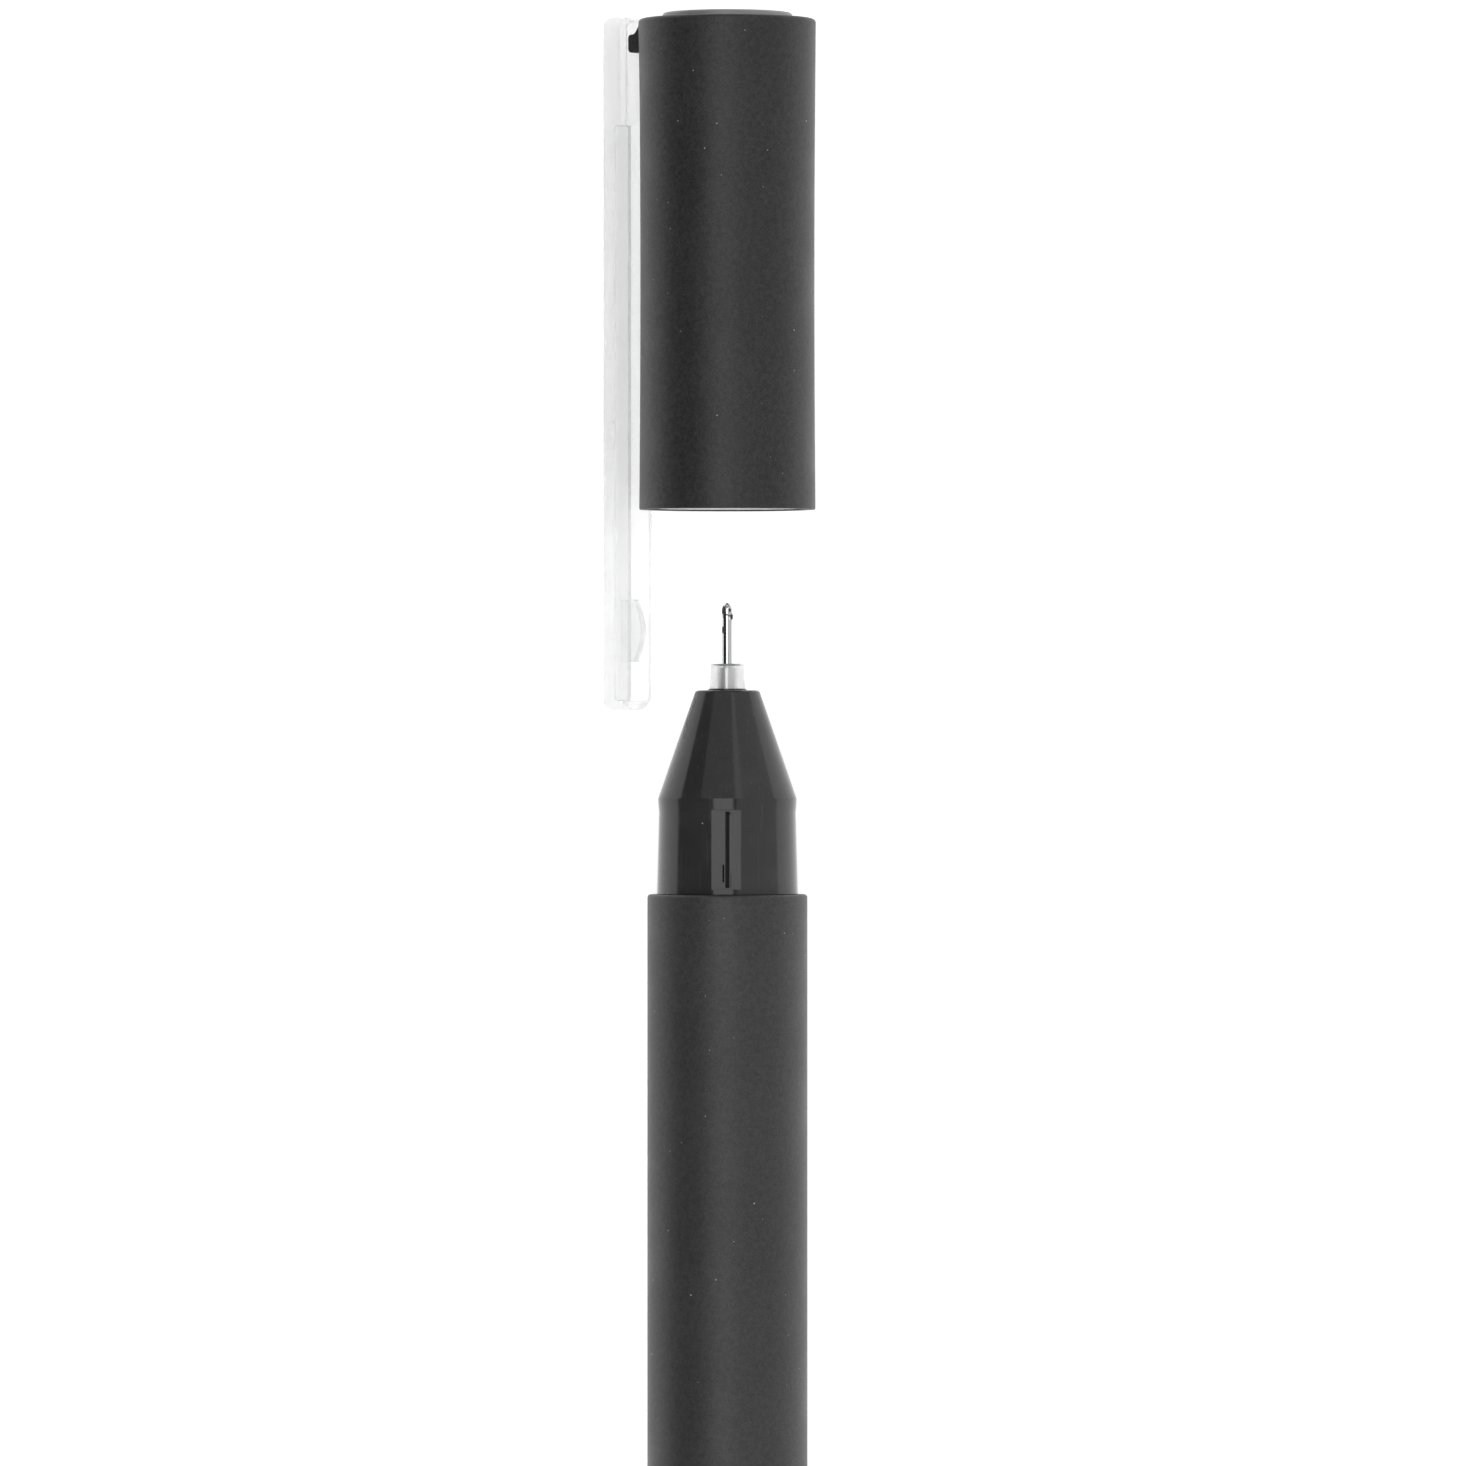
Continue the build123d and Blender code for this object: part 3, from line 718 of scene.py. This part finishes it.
def make_holder():
    """Plug, collar and body inside the nose, and the bare neck with its dished end."""
    tube_front_x = seat_x - 1.0
    plug_r = 2.48
    body_r = 2.5
    ink_way_r = 0.9
    hole_r = socket_r + 0.01
    corners = [
        (holder_back, ink_way_r, 0.05), (holder_back, plug_r, 0.15), (tube_front_x, plug_r, 0),
        (tube_front_x, holder_collar_r, 0.05), (seat_x, holder_collar_r, 0.08),
        (seat_x, body_r, 0.05), (body_end_x, body_r, 0.4), (neck_back_x, neck_r, 0.4),
        (nose_face_x, neck_r, 0),
        (holder_front, neck_tip_r, 0.07), (holder_front, neck_tip_r - 0.14, 0.05),
        (holder_front - 0.13, hole_r + 0.15, 0.2), (holder_front - 0.15, hole_r, 0.03),
        (socket_back, hole_r, 0), (socket_back - ink_way_r, ink_way_r, 0),
    ]
    holder = piece("neck_shell", turned(rounded(corners, 10), FINE), neck_milky)
    # painted shade: a dark ring in the dished end round the needle
    marks = holder.data.attributes.new("painted_dark", "FLOAT", "POINT")
    for vert, mark in zip(holder.data.vertices, marks.data):
        radius = hypot(vert.co.y, vert.co.z) / MM
        at_end = vert.co.x / MM > holder_front - 0.25
        in_dish = at_end and hole_r + 0.06 < radius < neck_tip_r - 0.1
        mark.value = 1.0 if in_dish else 0.0
    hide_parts("tip_holder")
    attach(holder, "pen")


def make_socket():
    hole_r = needle_r + 0.01
    corners = [
        (socket_back, needle_bore_r, 0.03), (socket_back, socket_r, 0.06),
        (socket_front, socket_r, 0.1), (socket_front, hole_r, 0.04),
        (needle_back, hole_r, 0), (needle_back, needle_bore_r, 0),
    ]
    socket = piece("socket_sleeve", turned(rounded(corners), FINE), steel)
    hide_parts("needle_socket")
    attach(socket, "pen")


def make_needle():
    """The tube with its swelled head spun in over the ball, and its crimp dents."""
    ball_x = tip_x - ball_r
    seat_r = ball_r + 0.01
    lip_bore_r = sqrt(seat_r ** 2 - (needle_lip - ball_x) ** 2)
    lip_r = lip_bore_r + 0.018
    head_back = needle_lip - head_length
    swell_back = head_back - swell_length
    spun_back = needle_lip - spun_length
    crease_end = spun_back + crease_length
    tube_steps, swell_steps, head_steps, spun_steps, seat_steps = 36, 8, 10, 16, 12
    points = [Vector((needle_back, needle_bore_r)), Vector((needle_back, needle_r))]
    for step in range(tube_steps + 1):
        x = needle_back + (swell_back - needle_back) * step / tube_steps
        points.append(Vector((x, needle_r)))
    for step in range(1, swell_steps + 1):
        share = step / swell_steps
        ease = share * share * (3 - 2 * share)
        x = swell_back + swell_length * share
        points.append(Vector((x, needle_r + (head_r - needle_r) * ease)))
    for step in range(1, head_steps + 1):
        points.append(Vector((head_back + (spun_back - head_back) * step / head_steps, head_r)))
    # a fine crease, then the spun end: an ogive down to the thin lip
    points.append(Vector((spun_back + crease_length / 2, head_r - 0.028)))
    points.append(Vector((crease_end, head_r - 0.006)))
    ogive = 0.86             # how far round its arc the spun end goes
    end_bulge = sqrt(1 - ogive ** 2)
    for step in range(1, spun_steps + 1):
        share = step / spun_steps
        bulge = sqrt(max(0.0, 1 - (share * ogive) ** 2))
        radius = lip_r + (head_r - lip_r) * (bulge - end_bulge) / (1 - end_bulge)
        points.append(Vector((crease_end + (needle_lip - crease_end) * share, radius)))
    points.append(Vector((needle_lip, lip_bore_r)))
    # the seat inside is a hollow round the ball
    throat_angle = acos(-sqrt(seat_r ** 2 - needle_bore_r ** 2) / seat_r)
    lip_angle = acos((needle_lip - ball_x) / seat_r)
    for step in range(1, seat_steps + 1):
        angle = lip_angle + (throat_angle - lip_angle) * step / seat_steps
        points.append(Vector((ball_x + seat_r * cos(angle), seat_r * sin(angle))))
    work = turned(points, FINE)
    # two rings of three crimp dents hold the ball: (station, first angle, width, depth)
    for dent_x, turn, width, depth in (
        (needle_lip - 0.3, -24, 0.11, 0.05), (spun_back - 0.28, -32, 0.15, 0.06),
    ):
        for number in range(3):
            angle = radians(turn + 120 * number)
            spot = Vector((dent_x, head_r * sin(angle), head_r * cos(angle)))
            for vert in work.verts:
                radius = sqrt(vert.co.y ** 2 + vert.co.z ** 2)
                away = (vert.co - spot).length / width
                if away < 1 and radius > needle_r - 0.12:
                    sink = depth * (1 - away * away) ** 2
                    vert.co.y *= (radius - sink) / radius
                    vert.co.z *= (radius - sink) / radius
    needle = piece("needle_shell", work, steel)
    # painted dark reflections on the needle's upper side near the ball
    paint_dark_reflections(needle)
    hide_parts("needle_tube")
    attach(needle, "pen")


def paint_dark_reflections(target):
    """Stores where dark reflections are painted near the ball, on the upper side: a wedge, a ring
    and spots.
    """
    spots = (                # back from the tip, sideways, half length, half width
        (0.0, 0.05, 0.1, 0.1), (0.45, -0.15, 0.14, 0.09), (0.42, 0.27, 0.34, 0.12),
        (0.74, 0.06, 0.05, 0.12), (0.8, -0.1, 0.05, 0.12), (0.86, -0.27, 0.2, 0.1),
        (1.68, 0.27, 0.26, 0.1), (0.2, 0.3, 0.3, 0.12),
    )
    fade = 1.5               # the stain thins out to nothing at this many spot sizes
    mesh = target.data
    marks = mesh.attributes.new("painted_dark", "FLOAT", "POINT")
    for vert, mark in zip(mesh.vertices, marks.data):
        back = tip_x - vert.co.x / MM
        side = vert.co.y / MM
        nearest = min(
            hypot((back - at) / length, (side - off) / width) for at, off, length, width in spots
        )
        mark.value = max(0.0, 1.0 - nearest / fade) if vert.co.z > 0 else 0.0


def make_ball():
    ball_x = tip_x - ball_r
    steps = 40
    points = []
    for step in range(steps + 1):
        angle = pi - pi * step / steps
        points.append(Vector((ball_x + ball_r * cos(angle), max(0.0, ball_r * sin(angle)))))
    points[0].y = 0
    points[-1].y = 0
    ball = piece("point_ball", turned(points, FINE), ball_metal)
    # painted dark reflections on the ball's upper side
    paint_dark_reflections(ball)
    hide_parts("writing_ball")
    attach(ball, "ball")


# ---------------------------------------------------------------- the cap

def make_sleeve():
    """Waisted shell, drawn out a little under the clip near its end."""
    sides = 48
    corners = [
        (cap_end_x, sleeve_bore_r, 0.03), (mouth_x - mouth_drop, sleeve_bore_r, 0.02),
        (mouth_x - mouth_drop, sleeve_mouth_r, 0.08),
    ]
    for step in range(1, sides):
        share = step / sides
        straight = sleeve_mouth_r + (sleeve_end_r - sleeve_mouth_r) * share
        x = mouth_x + (cap_end_x - mouth_x) * share
        corners.append((x, straight - sleeve_waist * 4 * share * (1 - share), 0))
    corners.append((cap_end_x, sleeve_end_r, 0.25))
    points = rounded(corners)
    work = turned(points)
    for vert in work.verts:
        radius = sqrt(vert.co.y ** 2 + vert.co.z ** 2)
        reach = (vert.co.x - (cap_end_x - flare_length)) / flare_length
        if reach <= 0 or radius < sleeve_mouth_r - 0.3:
            continue
        facing = (vert.co.y * OUT.y + vert.co.z * OUT.z) / radius
        rise = flare_rise * reach ** 2 * max(0.0, facing) ** 3
        vert.co.y *= (radius + rise) / radius
        vert.co.z *= (radius + rise) / radius
    sleeve = piece("cap_shell", work, soft_black)
    top_r = hinge_r - clip_gap
    base_r = sleeve_mouth_r - 0.275
    near_x = cap_end_x - lug_back
    far_x = near_x - lug_top
    lug = [
        (far_x - 0.12, base_r, 0), (far_x - 0.12, top_r, 0.25), (near_x + 0.2, top_r, 0.2),
        (near_x + 0.24, top_r - 0.45, 0.3), (near_x + 0.85, sleeve_mouth_r, 0.1),
        (near_x + 0.85, base_r, 0),
    ]
    carve(sleeve, slab(rounded(lug, 8), lug_width, clip_place(), 0.05, 3), "UNION")
    tongue_x = (far_x + near_x) / 2
    slot = [
        (tongue_x - 0.23, top_r - 0.72), (tongue_x - 0.23, top_r + 0.1),
        (tongue_x + 0.23, top_r + 0.1), (tongue_x + 0.23, top_r - 0.72),
    ]
    carve(sleeve, slab(slot, 1.76, clip_place()))
    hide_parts("cap_sleeve")
    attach(sleeve, "cap")


def make_liner():
    start_x = mouth_x - mouth_drop + liner_setback
    bead_x = cone_start_x - ridge_width - 1.0 + closing_travel
    back_x = cap_end_x - brim - 0.02
    pocket_r = crown_r + 0.01
    corners = [
        (start_x, liner_mouth_r, 0.03), (start_x, liner_r, 0.03), (back_x, liner_r, 0.05),
        (back_x, pocket_r, 0.05), (web_front, pocket_r, 0.1), (web_front, 0, 0),
        (web_back, 0, 0), (web_back, liner_bore_r, 0), (bead_x + 0.5, liner_bore_r, 0),
        (bead_x + 0.25, bead_r, 0), (bead_x - 0.25, bead_r, 0), (bead_x - 0.5, liner_mouth_r, 0),
    ]
    liner = piece("cap_liner_shell", turned(rounded(corners)), liner_milky)
    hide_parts("cap_liner")
    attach(liner, "cap")


def make_crown():
    """Slightly domed plug with a shallow ring and a small gate mark."""
    dome = 0.1
    top = crown_front + crown_rise
    corners = [
        (top - 0.06, 0, 0), (top - 0.06, 0.45, 0.03), (top - 0.01, 0.55, 0.03),
        (top - dome * 0.4, crown_r - 1.2, 0.1), (top - dome - 0.06, crown_r - 1.1, 0.04),
        (top - dome - 0.02, crown_r - 0.95, 0.04), (top - dome, crown_r, 0.16),
        (cap_end_x - 0.02, crown_r, 0.05), (cap_end_x - 0.02, liner_r - 0.02, 0.04),
        (cap_end_x - brim, liner_r - 0.02, 0), (cap_end_x - brim, crown_r, 0),
        (crown_back, crown_r, 0.15), (crown_back, crown_r - 0.8, 0.1),
        (top - 1.5, crown_r - 0.8, 0.1), (top - 1.5, 0, 0),
    ]
    crown = piece("cap_crown_shell", turned(rounded(corners)), crown_grey)
    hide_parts("cap_crown")
    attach(crown, "cap")


def make_seal_cup():
    throat_r = 1.5
    floor_x = pad_front
    closed_face_x = nose_face_x + closing_travel
    step_x = closed_face_x + 0.6
    cone_fall = (ridge_r - nose_face_r) / (nose_face_x - cone_start_x)

    def seal_at(x):
        """Just clear of the nose cone in the closed cap."""
        return nose_face_r + cone_fall * (closed_face_x - x) + 0.03

    band_x = closed_face_x - 2.5
    band_end_x = band_x + 1.0
    outer_r = seal_at(cup_back) + 0.25 + 0.37
    corners = [
        (cup_back, seal_at(cup_back) + 0.22, 0.05), (cup_back, outer_r, 0.15),
        (floor_x, outer_r, 0.1), (floor_x, cup_flange_r, 0.05), (cup_front, cup_flange_r, 0.05),
        (cup_front, 0, 0), (floor_x, 0, 0), (floor_x, throat_r, 0), (step_x, throat_r, 0.2),
        (step_x, seal_at(band_end_x), 0.1), (band_end_x, seal_at(band_end_x), 0),
        (band_x, seal_at(band_x), 0),
    ]
    cup = piece("seal_cup_shell", turned(rounded(corners), FINE), milky)
    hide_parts("inner_seal_cup")
    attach(cup, "cap")


def make_pad():
    corners = [
        (pad_back + 0.08, 0, 0), (pad_back + 0.08, pad_r * 0.45, 0.05),
        (pad_back, pad_r * 0.6, 0.05), (pad_back, pad_r, 0.15),
        (pad_front, pad_r, 0.05), (pad_front, 0, 0),
    ]
    pad = piece("tip_pad_shell", turned(rounded(corners), FINE), rubber)
    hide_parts("tip_pad")
    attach(pad, "cap")


# ---------------------------------------------------------------- the clip

def make_clip():
    """An open channel with a solid root, a ramp by its free end and a tongue for the lug."""
    inner = hinge_r + clip_gap
    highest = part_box("clip")[1].y / MM
    outer = (highest - clip_width / 2 * abs(SIDE.y)) / abs(OUT.y)
    place = clip_place()
    body = [
        (clip_end_x, inner, 1.08), (clip_root_x + root_rise, inner, 0.25),
        (clip_root_x + root_rise, outer, 0.56), (clip_end_x, outer, 0.56),
    ]
    clip = piece("clip_shell", slab(rounded(body, 8), clip_width, place, 0.16, 4), milky)
    start_x = clip_end_x + 0.6
    root_x = clip_root_x - clip_root
    floor = outer - clip_plate
    channel = [
        (start_x, inner - 0.5, 0), (root_x, inner - 0.5, 0),
        (root_x, floor, 0.25), (start_x, floor, 0.25),
    ]
    channel_width = clip_width - 2 * clip_flange
    carve(clip, slab(rounded(channel), channel_width, place, 0.12, 3))
    crest_x = clip_end_x + ramp_crest
    ramp = [Vector((crest_x - ramp_length / 2, floor + 0.2))]
    steps = 20
    for step in range(steps + 1):
        share = 2 * step / steps - 1
        fall = (inner + 0.25 - floor) + (-ramp_drop - 0.25) * (1 - abs(share) ** 1.5)
        ramp.append(Vector((crest_x + share * ramp_length / 2, floor + fall)))
    ramp.append(Vector((crest_x + ramp_length / 2, floor + 0.2)))
    carve(clip, slab(ramp, ramp_width, place, 0.1, 3), "UNION")
    tongue_x = cap_end_x - lug_back - lug_top / 2
    tongue = [
        (tongue_x - 0.15, inner - tongue_reach), (tongue_x - 0.15, inner + 0.1),
        (tongue_x + 0.15, inner + 0.1), (tongue_x + 0.15, inner - tongue_reach),
    ]
    carve(clip, slab(tongue, 1.6, place, 0.03), "UNION")
    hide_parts("clip")
    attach(clip, "clip")


make_barrel()
make_end_plug()
make_nose()
make_holder()
make_socket()
make_needle()
make_ball()
make_sleeve()
make_liner()
make_crown()
make_seal_cup()
make_pad()
make_clip()

# what stays hidden in the barrel keeps its CAD shape and gets its own finish
for node, material in (
    ("refill_tube", tube_clear), ("refill_tail_plug", milky),
    ("gel_ink", ink), ("ink_follower", grease),
):
    hidden = frame["nodes"][node]
    hidden.data.materials.clear()
    hidden.data.materials.append(material)


# ---------------------------------------------------------------- stage, light and camera

def make_floor():
    """A pale lit table top under the pen."""
    radius = 3.0
    work = bmesh.new()
    bmesh.ops.create_circle(work, cap_ends=True, radius=radius, segments=96)
    mesh = bpy.data.meshes.new("table_top")
    work.to_mesh(mesh)
    work.free()
    table = bpy.data.objects.new("table_top", mesh)
    bpy.context.scene.collection.objects.link(table)
    table.location.z = cad_box[0][2] - 0.00002
    finish = Finish("lit_table")
    finish.set(Roughness=0.6, IOR=1.45, Emission_Strength=0.64)
    cloud = remap(finish.tree, noise(finish.tree, place_of(finish.tree), 14.0), 0.3, 0.7)
    finish.feed("Base Color", finish.mix(cloud, (0.885, 0.885, 0.885), (0.9, 0.9, 0.9)))
    finish.shader.inputs["Emission Color"].default_value = (1, 1, 1, 1)
    mesh.materials.append(finish.material)


def soft_box(name, centre, size, brightness, aim=(0.12, 0, 0)):
    """An area light with an even brightness, turned to face a point on the pen."""
    light = bpy.data.lights.new(name, "AREA")
    light.shape = "RECTANGLE"
    light.size, light.size_y = size
    light.energy = brightness * pi * size[0] * size[1]
    lamp = bpy.data.objects.new(name, light)
    bpy.context.scene.collection.objects.link(lamp)
    lamp.location = centre
    lamp.rotation_euler = (Vector(aim) - Vector(centre)).to_track_quat("-Z", "Y").to_euler()
    return lamp


def make_lights():
    """A bright strip overhead, a wide weaker panel on the right, and one beyond the cap."""
    strip = soft_box("overhead_strip", (-0.35, 0.13, 1.0), (2.1, 0.6), 2.0, (-0.35, 0.13, 0))
    strip.rotation_euler = (0, 0, 0)
    soft_box("side_panel", (0.12, -0.87, 0.67), (2.4, 1.68), 0.66, (0.12, 0, 0))
    soft_box("far_panel", (1.0, 0.2, 0.95), (1.5, 1.5), 0.45, (0.12, 0, 0))
    world = bpy.data.worlds.new("studio")
    bpy.context.scene.world = world
    world.use_nodes = True
    air = world.node_tree.nodes["Background"]
    air.inputs["Color"].default_value = (1, 1, 1, 1)
    air.inputs["Strength"].default_value = 0.03


def make_camera():
    """Straight above the tip, with the pen's tip end up the picture."""
    view_x = 0.119075
    view_y = -0.00035
    distance = 0.7
    frame_width = 0.091625
    lens = bpy.data.cameras.new("camera")
    lens.sensor_width = 36
    lens.lens = 36 * distance / frame_width
    eye = bpy.data.objects.new("camera", lens)
    bpy.context.scene.collection.objects.link(eye)
    eye.location = (view_x, view_y, distance)
    eye.rotation_euler = (0, 0, -pi / 2)
    bpy.context.scene.camera = eye


make_floor()
make_lights()
make_camera()
bpy.context.scene.view_settings.view_transform = "Standard"
